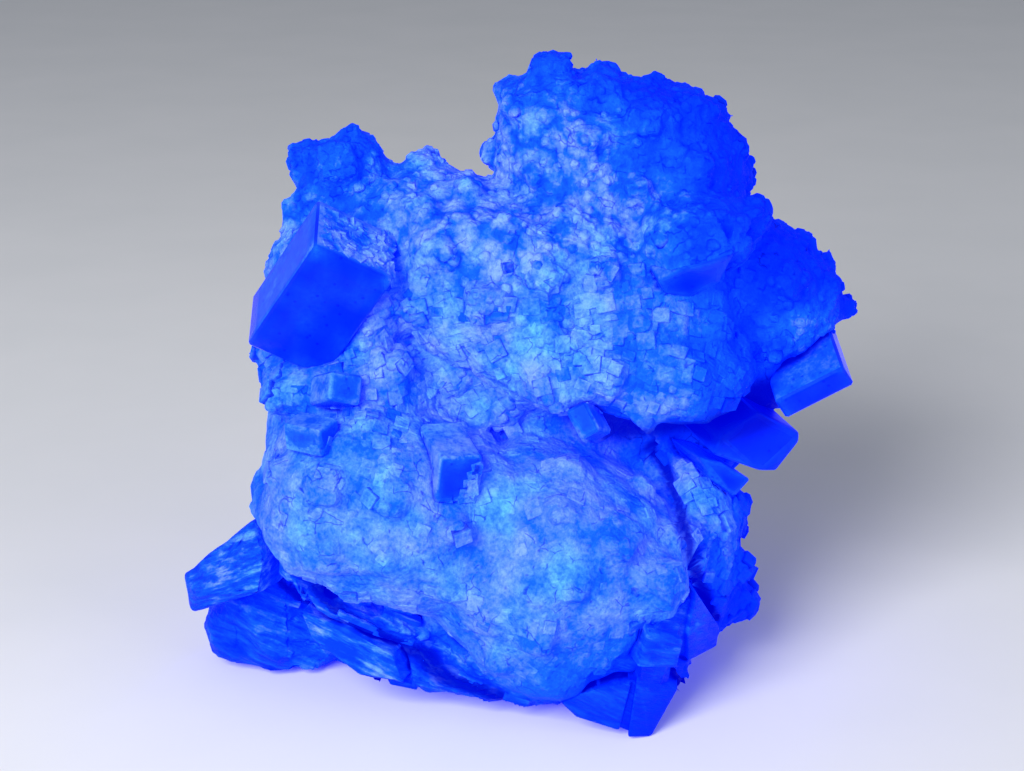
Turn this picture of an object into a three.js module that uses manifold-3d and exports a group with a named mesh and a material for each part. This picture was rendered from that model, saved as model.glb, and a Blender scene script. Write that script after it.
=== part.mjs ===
// Fluorite specimen: a broken block of vein rock, crusted with small intergrown fluorite
// cubes, with larger fluorite cubes standing in the crust and blocks of broken massive
// fluorite round the base. Millimetres, +Z up, -Y is the display side, z = 0 is the table.
import * as THREE from "three";
import { ConvexGeometry } from "three/addons/geometries/ConvexGeometry.js";
import { mergeVertices } from "three/addons/utils/BufferGeometryUtils.js";
import Module from "manifold-3d";

// ---- Driving dimensions ------------------------------------------------------------

const SEAT_GAP = 0.3; // clearance between a large crystal and its socket in the rock
const ROUGHNESS = 0.08; // how far the rock's surface wanders, as a share of a lump's size
const SWELL_LENGTH = 27; // from one swell of the rock's surface to the next
const RIPPLE_LENGTH = 12; // the same for the finer ripples on the swells
const CHAMFER = 0.5; // worn edge of a large crystal
const SMALL_CUBE = { least: 4.5, most: 8 }; // edge lengths of the cubes in the crust
const CUBE_SPACING = 10.4; // least distance between neighbouring cubes of the crust
const BACK_SPACING = 22; // the same on the side that was broken off the vein
const CUBE_TILT = 26; // degrees that a crust cube leans from the surface under it
const CUBE_SHOWS = -0.16; // how far a cube's centre lies out of the rock, in edges
const FUSED_TILT = 9; // on the lower block the crust is fused, and its cubes lean less,
const FUSED_SHOWS = -0.33; // sink deeper
const FUSED_SPACING = 12; // and stand further apart
const FUSED_PART = { top: 57, right: 27 }; // the lower block: below this, and left of this
const CLEAR_OF_CRYSTALS = 4.5; // crust cubes keep their centres this far from large crystals
const LOWEST_CUBE = 5; // no crust cube stands nearer the table than this
const BARE_BASE = 14; // up to this height the rock is broken, with few cubes
const BACK_SLOPE = 0.3; // where the rock faces back more than this, it has few cubes too
const BURIED = 0.97; // a place deeper than this in another lump lies inside the rock
const CRUST_SEED = 7;
const TABLE = 300; // side of the block that cuts the underside flat
const WELD = 1e-4; // corners nearer to each other than this are one corner

const CRUST_FINISH = { color: 0x5a96ff, roughness: 0.7 };
const CRYSTAL_FINISH = { color: 0x0341fe, roughness: 0.25 };
const BLOCK_FINISH = { color: 0x0238f0, roughness: 0.35 };

// The rock is a pile of overlapping blocky lumps: centre, half sizes and turn about Y.
const BLOCKINESS = 2.7; // 2 is an ellipsoid, and a higher power is nearer to a box
const FINE_LUMP = 18.5; // lumps wider than this have smaller facets
const LUMPS = [
  { name: "core", at: [-1, 18, 50], half: [37, 26, 38], turn: 0 },
  { name: "dome", at: [20, 15, 92], half: [24, 19, 24], turn: 14 },
  { name: "crown", at: [9.5, 15, 102], half: [14, 15, 16.5], turn: 10 },
  { name: "shoulder", at: [47, 13, 76], half: [18, 17, 13], turn: 38 },
  { name: "upper_face", at: [11, 6, 77], half: [36, 22, 19], turn: 12 },
  { name: "overhang", at: [20, -1, 67], half: [27, 18, 12], turn: 7 },
  { name: "waist", at: [38, 14, 50], half: [12, 13, 11], turn: 0 },
  { name: "nape", at: [45, 8, 61], half: [10, 10, 9], turn: 0 },
  { name: "shelf", at: [33.5, -4, 91], half: [11.5, 14, 7.5], turn: -8 },
  { name: "horn", at: [-31, 14, 92.5], half: [10, 11, 13.5], turn: -4 },
  { name: "saddle", at: [-15, 12, 85], half: [20, 17, 15], turn: 6 },
  { name: "brow", at: [-31, 4, 78], half: [14, 17, 14], turn: 0 },
  { name: "cheek", at: [-30, 2, 61], half: [17, 19, 10], turn: 0 },
  { name: "lower_left", at: [-20, -5, 40], half: [28, 28, 19], turn: 16 },
  { name: "lower_right", at: [9, -9, 28], half: [26, 27, 23], turn: 28 },
  { name: "toe", at: [21, -12, 14], half: [14, 17, 14], turn: 0 },
  { name: "foot", at: [35, 4, 27], half: [10, 18, 21], turn: -4 },
  { name: "base_left", at: [-50, 8, 10], half: [12, 13, 13], turn: 20 },
  { name: "base_corner", at: [-44, 8, 5], half: [14, 12, 8], turn: -8 },
  { name: "ledge_upper", at: [-29, -4, 20], half: [19, 16, 6], turn: 24 },
  { name: "ledge_middle", at: [-19, -2, 10], half: [21, 16, 6], turn: 9 },
  { name: "ledge_front", at: [-2, -10, 7], half: [21, 14, 6], turn: 4 },
  { name: "back_left", at: [-17, 27, 46], half: [19, 15, 33], turn: 9 },
  { name: "back_right", at: [20, 28, 46], half: [18, 17, 30], turn: -12 },
  { name: "back_top", at: [13, 24, 84], half: [19, 13, 24], turn: 20 },
  { name: "base_back", at: [5, 21, 8], half: [37, 20, 14], turn: 3 },
];

// Crevices in the rock: centre, size and turn about Y of the box that is cut away.
const CREVICES = [
  { name: "undercut_left", at: [12, -19, 58.5], size: [32, 12, 2.2], turn: 18 },
  { name: "undercut_right", at: [33.5, -13.5, 54.4], size: [28, 21, 5], turn: -15 },
  { name: "foot_crack", at: [33.2, -21, 29.8], size: [31, 14, 1.5], turn: 64 },
  { name: "base_crack", at: [-22, -20, 20.5], size: [40, 14, 1.6], turn: 24 },
];

// Large crystals. Each spans its edge lengths from its corner, along its own axes, which
// are turned about X, Y and Z by the given degrees.
const CRYSTALS = [
  { name: "cube_upper_left", corner: [-35.2, -20, 92.6], edges: [16, 26.3, 14.5], turn: [-68, -1, 31] },
  { name: "cube_centre", corner: [-12.6, -31, 56.4], edges: [12.7, 8, 9.6], turn: [-170, -8, -109] },
  { name: "cube_right", corner: [61.7, -8, 66.2], edges: [14.3, 17.7, 5], turn: [-159, 30, 174] },
  { name: "cube_middle", corner: [13.1, -23, 64.6], edges: [4, 12, 6], turn: [152, 27, -165] },
  { name: "cube_cheek", corner: [-32.5, -20.5, 69.6], edges: [9, 6.4, 5.5], turn: [152, -5, -120] },
  { name: "cube_low_left", corner: [-34.5, -27, 60], edges: [8.4, 6, 5.5], turn: [-172, 4, -150] },
];

// Crystals that are mostly buried: the corners of the one face that shows, and the way
// that the crystal runs back into the rock.
const BURIED_CRYSTALS = [
  {
    name: "cube_lower_right",
    face: [[46, -8.8, 57.6], [38.8, -11.6, 53.7], [37.7, -11.8, 50.2], [46.9, -7.8, 45.5], [50.1, -6.4, 45],
      [54.4, -4.9, 50.3], [54.5, -5, 52.2]],
    back: [-6, 15, 2],
  },
  {
    name: "cube_notch",
    face: [[35.3, -10.4, 49.1], [39.5, -9.1, 47.8], [45.3, -7, 43.5], [42.3, -7.4, 40.1],
      [37.7, -9.1, 44.2]],
    back: [-5, 12, 0],
  },
  {
    name: "cube_shelf",
    face: [[26.4, -16.6, 85.2], [30.6, -17.5, 87.5], [38.7, -16.5, 88.2], [40, -18.2, 90.9], [37.8, -13.6, 84],
      [32.5, -12.4, 81], [27.8, -14.1, 82.1]],
    back: [-3, 12, 3],
  },
];

// Blocks of massive fluorite broken along flat cleavage faces, given in the same way.
const BLOCKS = [
  {
    name: "block_left",
    face: [[-64, -2, 22], [-50, -4, 34], [-47, -14, 30], [-48, -14, 23], [-60, -10, 21], [-62, -6, 16]],
    back: [6, 18, -2],
  },
  {
    name: "block_front",
    face: [[9, -28, 7], [16, -30, 11], [22, -31, 12.5], [20, -29, 1.7], [12, -28, 4]],
    back: [0, 14, -1],
  },
  {
    name: "block_front_right",
    face: [[23, -31, 13.5], [31, -26, 9], [26, -28, 0], [21.5, -30, 0.8]],
    back: [1, 14, 0],
  },
  {
    name: "block_toe",
    face: [[25, -33, 24], [31.5, -30, 20.6], [30.5, -29, 14.5], [23, -33, 16.5]],
    back: [-3, 12, 0],
  },
  {
    name: "block_right",
    face: [[34, -25, 28], [39.5, -15, 16.5], [39, -15, 12.5], [33, -24, 13.5], [32.5, -26, 20]],
    back: [-4, 9, 3],
  },
  {
    name: "block_base",
    face: [[-40, -17.1, 20.7], [-31.4, -19.1, 18.3], [-22.5, -21.7, 13.9], [-20.3, -23.4, 8.7],
      [-28.6, -21.8, 9.6], [-37.7, -18.8, 15.7]],
    back: [3, 13, -1],
  },
];

// ---- Helpers -----------------------------------------------------------------------

const wasm = await Module();
wasm.setup();

// Numbers from 0 to 1 that come out the same on every run.
function randomFrom(seed) {
  let state = seed;
  return () => {
    state = (state + 0x6d2b79f5) | 0;
    let t = Math.imul(state ^ (state >>> 15), 1 | state);
    t = (t + Math.imul(t ^ (t >>> 7), 61 | t)) ^ t;
    return ((t ^ (t >>> 14)) >>> 0) / 4294967296;
  };
}

function solidOf(geometry) {
  const bare = geometry.index ? geometry.toNonIndexed() : geometry.clone();
  bare.deleteAttribute("normal");
  bare.deleteAttribute("uv");
  const merged = mergeVertices(bare, WELD);
  return new wasm.Manifold(
    new wasm.Mesh({
      numProp: 3,
      vertProperties: merged.attributes.position.array,
      triVerts: new Uint32Array(merged.index.array),
    }),
  );
}

function geometryOf(solid) {
  const { vertProperties, triVerts, numProp, numVert } = solid.getMesh();
  const position = new Float32Array(numVert * 3);
  for (let i = 0; i < numVert; i++) {
    position.set(vertProperties.subarray(i * numProp, i * numProp + 3), i * 3);
  }
  const geometry = new THREE.BufferGeometry();
  geometry.setAttribute("position", new THREE.BufferAttribute(position, 3));
  geometry.setIndex(new THREE.BufferAttribute(triVerts, 1));
  return geometry;
}

// The turn and place of a lump, a crevice or a crystal. One angle is a turn about Y.
function placed({ at, corner, turn }) {
  const degrees = Array.isArray(turn) ? turn : [0, turn, 0];
  const angles = new THREE.Euler(...degrees.map(THREE.MathUtils.degToRad));
  const place = new THREE.Vector3(...(at ?? corner));
  return new THREE.Matrix4().makeRotationFromEuler(angles).setPosition(place);
}

// ---- The rock ----------------------------------------------------------------------

// A wave along one direction, with crests that wind from side to side along another.
function wave(length, along, across) {
  const turns = (2 * Math.PI) / length;
  return Math.sin(turns * along + Math.sin((turns * across) / 2));
}

// Waves over the whole specimen, so that its lumps don't look turned on a lathe.
function swell({ x, y, z }) {
  const broad = wave(SWELL_LENGTH, x, z) + wave(SWELL_LENGTH, y, x) + wave(SWELL_LENGTH, z, y);
  const fine = wave(RIPPLE_LENGTH, x, z) * wave(RIPPLE_LENGTH, y - z, x);
  return (broad + fine) / 2;
}

// The length of a vector measured so that all lengths of 1 form a blocky ball.
function blockNorm({ x, y, z }) {
  const sum = [x, y, z].reduce((total, value) => total + Math.abs(value) ** BLOCKINESS, 0);
  return sum ** (1 / BLOCKINESS);
}

function lumpGeometry({ at, half, turn }) {
  const geometry = new THREE.IcosahedronGeometry(1, half[0] > FINE_LUMP ? 2 : 1);
  const matrix = placed({ at, turn });
  const reach = ROUGHNESS * Math.cbrt(half[0] * half[1] * half[2]);
  const position = geometry.attributes.position;
  const p = new THREE.Vector3();
  for (let i = 0; i < position.count; i++) {
    const unit = p.fromBufferAttribute(position, i).clone();
    p.divideScalar(blockNorm(unit)).multiply(new THREE.Vector3(...half)).applyMatrix4(matrix);
    p.addScaledVector(unit.transformDirection(matrix), reach * swell(p));
    position.setXYZ(i, p.x, p.y, p.z);
  }
  return geometry;
}

// How deep a point lies in a lump: under 1 inside, over 1 outside.
function depthIn(lump, point) {
  const local = point.clone().applyMatrix4(placed(lump).invert());
  return blockNorm(local.divide(new THREE.Vector3(...lump.half)));
}

// Evenly spread places over a lump, with the way out of the rock at each.
function* surfacePlaces(lump, spacing) {
  const half = new THREE.Vector3(...lump.half);
  const matrix = placed(lump);
  const count = Math.round((4 * Math.PI * Math.max(...lump.half) ** 2) / spacing ** 2);
  const golden = Math.PI * (3 - Math.sqrt(5));
  for (let i = 0; i < count; i++) {
    const up = 1 - (2 * i + 1) / count;
    const ring = Math.sqrt(1 - up * up);
    const unit = new THREE.Vector3(ring * Math.cos(golden * i), ring * Math.sin(golden * i), up);
    unit.divideScalar(blockNorm(unit));
    const slope = (value) => Math.sign(value) * Math.abs(value) ** (BLOCKINESS - 1);
    const out = new THREE.Vector3(...unit.toArray().map(slope)).divide(half).normalize();
    yield { point: unit.multiply(half).applyMatrix4(matrix), out: out.transformDirection(matrix) };
  }
}

// ---- The crust of small cubes --------------------------------------------------------

// How far a point lies outside the large crystals and blocks.
function clearance(point) {
  const toCrystals = CRYSTALS.map((crystal) => {
    const box = new THREE.Box3(new THREE.Vector3(), new THREE.Vector3(...crystal.edges));
    return box.distanceToPoint(point.clone().applyMatrix4(placed(crystal).invert()));
  });
  const toBlocks = [...BURIED_CRYSTALS, ...BLOCKS].map((block) => {
    return new THREE.Box3().setFromPoints(blockCorners(block)).distanceToPoint(point);
  });
  return Math.min(...toCrystals, ...toBlocks);
}

function isFused({ x, z }) {
  return z < FUSED_PART.top && x < FUSED_PART.right;
}

// Where the crust's cubes stand: never closer together than their spacing.
function crustPlaces() {
  const places = [];
  for (const lump of LUMPS) {
    for (const place of surfacePlaces(lump, CUBE_SPACING / 2)) {
      const { point, out } = place;
      const broken = out.y > BACK_SLOPE || point.z < BARE_BASE;
      const spacing = broken ? BACK_SPACING : isFused(point) ? FUSED_SPACING : CUBE_SPACING;
      const buried = LUMPS.some((other) => other !== lump && depthIn(other, point) < BURIED);
      const crowded = places.some((other) => other.point.distanceTo(point) < spacing);
      const clear = clearance(point) > CLEAR_OF_CRYSTALS && point.z > LOWEST_CUBE;
      if (!buried && !crowded && clear) places.push(place);
    }
  }
  return places;
}

function crustCube({ point, out }, random) {
  const edge = THREE.MathUtils.lerp(SMALL_CUBE.least, SMALL_CUBE.most, random() ** 2);
  const [tilt, shows] = isFused(point) ? [FUSED_TILT, FUSED_SHOWS] : [CUBE_TILT, CUBE_SHOWS];
  const lean = () => THREE.MathUtils.degToRad((2 * random() - 1) * tilt);
  const turned = new THREE.Euler(lean(), lean(), 2 * Math.PI * random());
  const facing = new THREE.Quaternion().setFromUnitVectors(new THREE.Vector3(0, 0, 1), out);
  const cube = new THREE.BoxGeometry(edge, edge, edge);
  cube.applyQuaternion(facing.multiply(new THREE.Quaternion().setFromEuler(turned)));
  cube.translate(...point.clone().addScaledVector(out, edge * shows).toArray());
  return solidOf(cube);
}

// ---- The large crystals --------------------------------------------------------------

// A box from 0 to the given lengths, with its edges and corners worn to narrow flats.
function wornBox([a, b, c], grow = 0) {
  const points = [];
  for (const x of [-grow, a + grow]) {
    for (const y of [-grow, b + grow]) {
      for (const z of [-grow, c + grow]) {
        const [dx, dy, dz] = [x, y, z].map((value) => (value > grow ? -CHAMFER : CHAMFER));
        points.push(new THREE.Vector3(x, y + dy, z + dz));
        points.push(new THREE.Vector3(x + dx, y, z + dz));
        points.push(new THREE.Vector3(x + dx, y + dy, z));
      }
    }
  }
  return new ConvexGeometry(points);
}

// The hollow in the rock that a crystal sits in.
function crystalSocket(crystal) {
  return solidOf(wornBox(crystal.edges, SEAT_GAP).applyMatrix4(placed(crystal)));
}

function blockCorners({ face, back }) {
  const near = face.map((corner) => new THREE.Vector3(...corner));
  return [...near, ...near.map((corner) => corner.clone().add(new THREE.Vector3(...back)))];
}

// A block's socket: the block with its corners moved out from its middle.
function blockSocket(block) {
  const corners = blockCorners(block);
  const middle = new THREE.Vector3();
  for (const corner of corners) middle.addScaledVector(corner, 1 / corners.length);
  for (const corner of corners) {
    corner.addScaledVector(corner.clone().sub(middle).normalize(), 2 * SEAT_GAP);
  }
  return solidOf(new ConvexGeometry(corners));
}

// ---- Putting it together ---------------------------------------------------------------

function rockWithCrust() {
  const random = randomFrom(CRUST_SEED);
  const lumps = LUMPS.map((lump) => solidOf(lumpGeometry(lump)));
  const cubes = crustPlaces().map((place) => crustCube(place, random));
  const pieces = [...lumps, ...cubes];
  let rock = pieces.shift();
  for (const piece of pieces) rock = rock.add(piece);
  for (const { size, ...place } of CREVICES) {
    rock = rock.subtract(solidOf(new THREE.BoxGeometry(...size).applyMatrix4(placed(place))));
  }
  for (const crystal of CRYSTALS) rock = rock.subtract(crystalSocket(crystal));
  for (const block of [...BURIED_CRYSTALS, ...BLOCKS]) rock = rock.subtract(blockSocket(block));
  const table = new THREE.BoxGeometry(TABLE, TABLE, TABLE).translate(0, 0, -TABLE / 2);
  return geometryOf(rock.subtract(solidOf(table)));
}

function namedMesh(name, geometry, finish) {
  const mesh = new THREE.Mesh(geometry, new THREE.MeshStandardMaterial(finish));
  mesh.name = name;
  return mesh;
}

function crystalMesh(crystal) {
  const mesh = namedMesh(crystal.name, wornBox(crystal.edges), CRYSTAL_FINISH);
  mesh.applyMatrix4(placed(crystal));
  return mesh;
}

function blockMesh(block, finish) {
  return namedMesh(block.name, new ConvexGeometry(blockCorners(block)), finish);
}

const crystals = new THREE.Group().add(...CRYSTALS.map(crystalMesh));
crystals.add(...BURIED_CRYSTALS.map((crystal) => blockMesh(crystal, CRYSTAL_FINISH)));
const blocks = new THREE.Group().add(...BLOCKS.map((block) => blockMesh(block, BLOCK_FINISH)));
const rock = namedMesh("rock_with_crust", rockWithCrust(), CRUST_FINISH);
const specimen = new THREE.Group().add(rock, crystals, blocks);

// The origin is under the middle of the specimen, on the table.
const bounds = new THREE.Box3().setFromObject(specimen);
const middle = bounds.getCenter(new THREE.Vector3());
specimen.position.set(-middle.x, -middle.y, -bounds.min.z);

export default specimen;
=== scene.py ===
# %% [markdown]
# # A fluorite specimen under ultraviolet light
# The real thing is a block of massive fluorite with a crust of small intergrown cubes, a few
# larger glassy cubes, and a foot of cleaved, layered fluorite. Its blue glow is painted: an
# emission from inside, in place of the fluorescence that ultraviolet light brings out, which no
# lamp here gives. The lamps light the paler haze on its faces, which is partly its own frost and
# partly painted light. A solid model holds the sizes: here every solid is dressed, and nothing
# is moved or resized.

# %% The frame and the units
import math
from contextlib import contextmanager

import bpy
import numpy as np
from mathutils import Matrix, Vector, noise
from mathutils.bvhtree import BVHTree
from mathutils.kdtree import KDTree


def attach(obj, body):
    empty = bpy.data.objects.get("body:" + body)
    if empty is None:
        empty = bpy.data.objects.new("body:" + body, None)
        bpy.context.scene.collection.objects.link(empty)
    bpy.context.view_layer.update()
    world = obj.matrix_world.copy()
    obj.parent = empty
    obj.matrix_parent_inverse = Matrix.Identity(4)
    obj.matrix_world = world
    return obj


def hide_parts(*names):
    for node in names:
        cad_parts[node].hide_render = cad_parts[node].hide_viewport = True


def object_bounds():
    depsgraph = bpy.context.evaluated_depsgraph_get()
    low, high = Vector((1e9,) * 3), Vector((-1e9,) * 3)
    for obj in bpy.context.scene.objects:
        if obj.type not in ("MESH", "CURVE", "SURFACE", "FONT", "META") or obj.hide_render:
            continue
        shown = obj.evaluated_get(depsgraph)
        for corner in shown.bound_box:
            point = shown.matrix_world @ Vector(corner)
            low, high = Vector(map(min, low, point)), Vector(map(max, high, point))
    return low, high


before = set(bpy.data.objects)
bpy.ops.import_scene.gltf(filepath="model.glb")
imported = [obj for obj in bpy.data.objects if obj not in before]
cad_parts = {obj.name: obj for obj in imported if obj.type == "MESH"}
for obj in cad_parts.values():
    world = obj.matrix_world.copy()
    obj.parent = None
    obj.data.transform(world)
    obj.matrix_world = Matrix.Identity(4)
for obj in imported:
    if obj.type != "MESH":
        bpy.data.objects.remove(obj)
cad_box = [list(corner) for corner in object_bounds()]
MM = 0.001
print("nodes:", len(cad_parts), "box in mm:", np.round(np.array(cad_box) / MM, 1).tolist())

# %% [markdown]
# ## Working on one mesh at a time
# An operator acts on all that is selected, so each piece is picked alone first. A piece starts
# as a copy of its solid, whose triangles are loose, so the copy's corners are merged.

# %% Picking and copying
WELD = 0.01 * MM


def pick(piece):
    """Selects one object alone."""
    bpy.ops.object.select_all(action="DESELECT")
    piece.select_set(True)
    bpy.context.view_layer.objects.active = piece


@contextmanager
def editing(piece):
    """Edit mode on one piece, with all of its mesh selected."""
    pick(piece)
    bpy.ops.object.mode_set(mode="EDIT")
    bpy.ops.mesh.select_all(action="SELECT")
    yield bpy.ops.mesh
    bpy.ops.object.mode_set(mode="OBJECT")


def added(name, data):
    """A new object that shows this mesh, light or camera."""
    thing = bpy.data.objects.new(name, data)
    bpy.context.scene.collection.objects.link(thing)
    return thing


def copy_of(node, name):
    """A node's mesh as a piece of its own, with its corners merged."""
    piece = added(name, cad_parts[node].data.copy())
    piece.data.name = name
    piece.data.materials.clear()
    with editing(piece) as mesh:
        mesh.remove_doubles(threshold=WELD)
    return piece


def apply_modifier(piece, kind, **settings):
    pick(piece)
    modifier = piece.modifiers.new(kind.lower(), kind)
    for key, value in settings.items():
        setattr(modifier, key, value)
    bpy.ops.object.modifier_apply(modifier=modifier.name)


def dress(piece, material, node=None):
    """Gives a piece its material and its ride, and hides the solid under it."""
    piece.data.materials.append(material)
    if node:
        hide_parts(node)
    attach(piece, "root")


# %% [markdown]
# Much of the work is done on all points of a mesh at once, as an array with a row for each.

# %% Meshes as arrays
def rows_of(items, key):
    """One vector of each of a mesh's items."""
    rows = np.empty(3 * len(items), np.float32)
    items.foreach_get(key, rows)
    return rows.reshape(-1, 3).astype(float)


def corners_of(piece):
    """The places of a mesh's vertices, in metres."""
    return rows_of(piece.data.vertices, "co")


def place_corners(piece, places):
    piece.data.vertices.foreach_set("co", places.astype(np.float32).ravel())
    piece.data.update()


def unit(vectors):
    return vectors / np.linalg.norm(vectors, axis=1, keepdims=True)


def normals_of(piece):
    """The way out of the mesh at each vertex."""
    return unit(rows_of(piece.data.vertices, "normal"))


def face_places(piece):
    """The middle and the normal of every face."""
    return rows_of(piece.data.polygons, "center"), rows_of(piece.data.polygons, "normal")


def keep(piece, **fields):
    """Keeps numbers or vectors at the vertices, for the materials to read."""
    for name, values in fields.items():
        values = np.asarray(values, np.float32)
        kind, key = ("FLOAT", "value") if values.ndim == 1 else ("FLOAT_VECTOR", "vector")
        piece.data.attributes.new(name, kind, "POINT").data.foreach_set(key, values.ravel())


def weigh(piece, **groups):
    """Makes vertex groups, which tell a modifier how strongly to act at a vertex."""
    for name, weights in groups.items():
        group = piece.vertex_groups.new(name=name)
        for number, weight in enumerate(weights.tolist()):
            group.add([number], float(weight), "REPLACE")


def tree_of_points(points):
    """A tree to be asked for the points nearest to a place."""
    tree = KDTree(len(points))
    for number, point in enumerate(points):
        tree.insert(point, number)
    tree.balance()
    return tree


def cloudy(points, size):
    """Smooth noise from about -1 to 1 at each point, with clouds about this wide."""
    return np.array([noise.noise(Vector(point / size)) for point in points])


def smooth_step(values):
    values = np.clip(values, 0, 1)
    return values * values * (3 - 2 * values)


def ramp(values, start, length):
    """0 up to the start, and 1 from this length past it."""
    return smooth_step((values - start) / length)


def fading(away, reach, edge=1.5):
    """1 close by, falling to 0 at so many times the reach."""
    return smooth_step(edge - away / reach)


def away_from(points, middle):
    """How far each point lies from a middle, in millimetres."""
    return np.linalg.norm(points / MM - np.array(middle), axis=1)


# %% [markdown]
# ## What grows where
# The crust covers all but the foot, where the massive fluorite is broken off bare. It is palest
# in the middle of the display side and clear blue towards the rim: partly the crust's own frost,
# and partly painted light, paler where the light falls on the display side and darker to the
# right. On the lower block its cubes are fused to a nearly smooth skin, higher up they are
# rugged, and knobs cover the dome, the horn and the right shoulder. Each is a number that any
# point can be asked for, so the rock, the crust and the crystals agree.

# %% Maps of the specimen
BARE_FOOT = [(-52, 41), (-43, 32), (-32, 25.5), (-14, 14), (9, 6), (13, 13), (24, 20), (31, 25),
             (35, 12), (60, 9)]
RAGGED = 2.5 * MM
RAGGED_WAVE = 7 * MM
RAGGED_RIPPLE = 2.5 * MM
LOWER_BEHIND = 6 * MM
DEEP_SIDE = 20
CRUST_EDGE = 2 * MM
UNDERCUT = ([(12, 57.5), (20, 53.5), (32, 54.2), (47, 58)], 4.5)
RIGHT_CRACK = ([(20, 52), (27.4, 44.5), (30.8, 37.7), (33.9, 25.4), (37.4, 15.3)], 1.3)
# Lines along which shade is painted, each seen from the front, with a width in millimetres.
SHADE_LINES = [
    # The painted shadow under the overhang, and painted shade in the right crack.
    UNDERCUT, RIGHT_CRACK,
    # The painted shadow under the crust's lower edge, then painted shade in two cracks of the foot.
    ([(-42, 29), (-33, 20.5), (-15, 9.5), (-4, 6)], 1.9),
    ([(-47, 19.4), (-40.4, 12.8), (-36, 8.2)], 0.7),
    ([(-30, 14), (-23, 5)], 0.6),
]
# Painted light over the crust's own frost: paler round this middle, darker away from it.
PALE_CENTRE = np.array([-17, -25, 64]) * MM
PALE_REACH = 79 * MM
PALE_FADE = 40 * MM
# The painted light falls off sooner to the right and later behind.
TO_THE_RIGHT = 1.12
FADE_BEHIND = 0.45
LEAST_HAZE = 0.07
BACK_HAZE = 0.25
BACK = (5, 25)
SPOTS = [
    ((-38, 0, 110), 17, -0.60), ((34, -20, 36), 15, 0.60), ((6, -8, 102), 20, 0.25),
    ((54, -4, 68), 9, 0.50), ((28, -24, 72), 12, -0.15), ((14, 0, 124), 14, -0.15),
    ((24, -32, 24), 12, 0.30), ((-46, -6, 66), 12, -0.35),
]
FOOT_HAZE = 0.34
FROSTED_FOOT = (-6, 20)
CLOUD = 8 * MM


def crusted(points):
    """1 where a point lies on crust, 0 on the bare foot, and a ragged edge between."""
    edge = np.interp(points[:, 0], *np.array(BARE_FOOT).T * MM)
    ragged = (cloudy(points, RAGGED_WAVE) + 0.5 * cloudy(points, RAGGED_RIPPLE)) * RAGGED
    behind = np.clip(points[:, 1] / MM / DEEP_SIDE, 0, 1) * LOWER_BEHIND
    return smooth_step((points[:, 2] - edge + behind + ragged) / CRUST_EDGE + 0.5)


def haze(points):
    """How pale the fluorite looks at a point, from LEAST_HAZE at the rim to 1: own frost and painted light.
    """
    away = (points - PALE_CENTRE) * np.array([1, FADE_BEHIND, 1])
    away[:, 0] *= np.where(away[:, 0] > 0, TO_THE_RIGHT, 1)
    near = smooth_step((PALE_REACH - np.linalg.norm(away, axis=1)) / PALE_FADE)
    near += BACK_HAZE * ramp(points[:, 1] / MM, *BACK)
    for middle, radius, change in SPOTS:
        near += change * fading(away_from(points, middle), radius)
    near = LEAST_HAZE + (1 - LEAST_HAZE) * np.clip(near, 0, 1)
    return near * np.clip(0.92 + 0.5 * cloudy(points, CLOUD), 0, 1)


def foot_haze_and_painted_light(points, bare):
    """The bare foot is frosted in streaks on the left and clear on the right, over the painted light."""
    left = ramp(-points[:, 0] / MM, *FROSTED_FOOT)
    return np.clip(haze(points) + FOOT_HAZE * left * bare, 0, 1)


def near_line(points, line, width):
    """1 along a line seen from the front, falling to 0 beyond this many millimetres."""
    seen = points[:, [0, 2]] / MM
    nearest = np.full(len(points), np.inf)
    for start, end in zip(np.array(line[:-1]), np.array(line[1:])):
        step = end - start
        share = np.clip((seen - start) @ step / (step @ step), 0, 1)
        nearest = np.minimum(nearest, np.linalg.norm(seen - start - share[:, None] * step, axis=1))
    return fading(nearest, width) * (points[:, 1] < 0)


def in_painted_shade(points):
    """1 where shade is painted: under the overhang, under the crust's lower edge and in the cracks."""
    return np.max([near_line(points, line, width) for line, width in SHADE_LINES], axis=0)


def in_balls(points, balls, ragged=0):
    """1 inside any of the balls, each a middle and a radius in millimetres."""
    inside = np.zeros(len(points))
    for middle, radius in balls:
        inside = np.maximum(inside, away_from(points, middle) < radius * (1 + ragged))
    return inside


RUGGED_ABOVE = (50, 9)
SAG = 0.12
RUGGED_RIGHT = (27, 8)
KNOBS_ABOVE = (80, 12)
SHOULDER_RIGHT = (38, 8)
SHOULDER_ABOVE = (56, 6)


def ruggedness(points):
    """0 on the fused crust of the lower block, 1 on the rugged crust above and to the right."""
    x, z = points[:, 0] / MM, points[:, 2] / MM
    return np.maximum(ramp(z - SAG * np.abs(x + 8), *RUGGED_ABOVE), ramp(x, *RUGGED_RIGHT))


def knobbiness(points):
    """1 on the dome, the horn and the right shoulder, 0 on the flatter crust below them."""
    x, z = points[:, 0] / MM, points[:, 2] / MM
    return np.maximum(ramp(z, *KNOBS_ABOVE), ramp(x, *SHOULDER_RIGHT) * ramp(z, *SHOULDER_ABOVE))


def by_crust(points, fused, rugged, knobby):
    """A number with one value on each of the three sorts of crust, blended between them."""
    values = fused + (rugged - fused) * ruggedness(points)
    return values + (knobby - values) * knobbiness(points)


# %% [markdown]
# ## Materials
# Every finish here is one shader: a blue emission for the painted glow, a hazy base colour with
# painted light and shade in it for what the lights show, and a roughness. The node maths is
# written as Python expressions. A small class stands for a socket, and each operator on it adds
# the Math node that does the sum.

# %% Sockets that can be added and multiplied
class Wire:
    """A node's output. Arithmetic on it adds Math nodes."""

    def __init__(self, shade, socket):
        self.shade, self.socket = shade, socket

    def __add__(self, other):
        return self.shade.math("ADD", self, other)

    def __sub__(self, other):
        return self.shade.math("SUBTRACT", self, other)

    def __rsub__(self, other):
        return self.shade.math("SUBTRACT", other, self)

    def __mul__(self, other):
        return self.shade.math("MULTIPLY", self, other)

    __radd__ = __add__
    __rmul__ = __mul__


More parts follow.
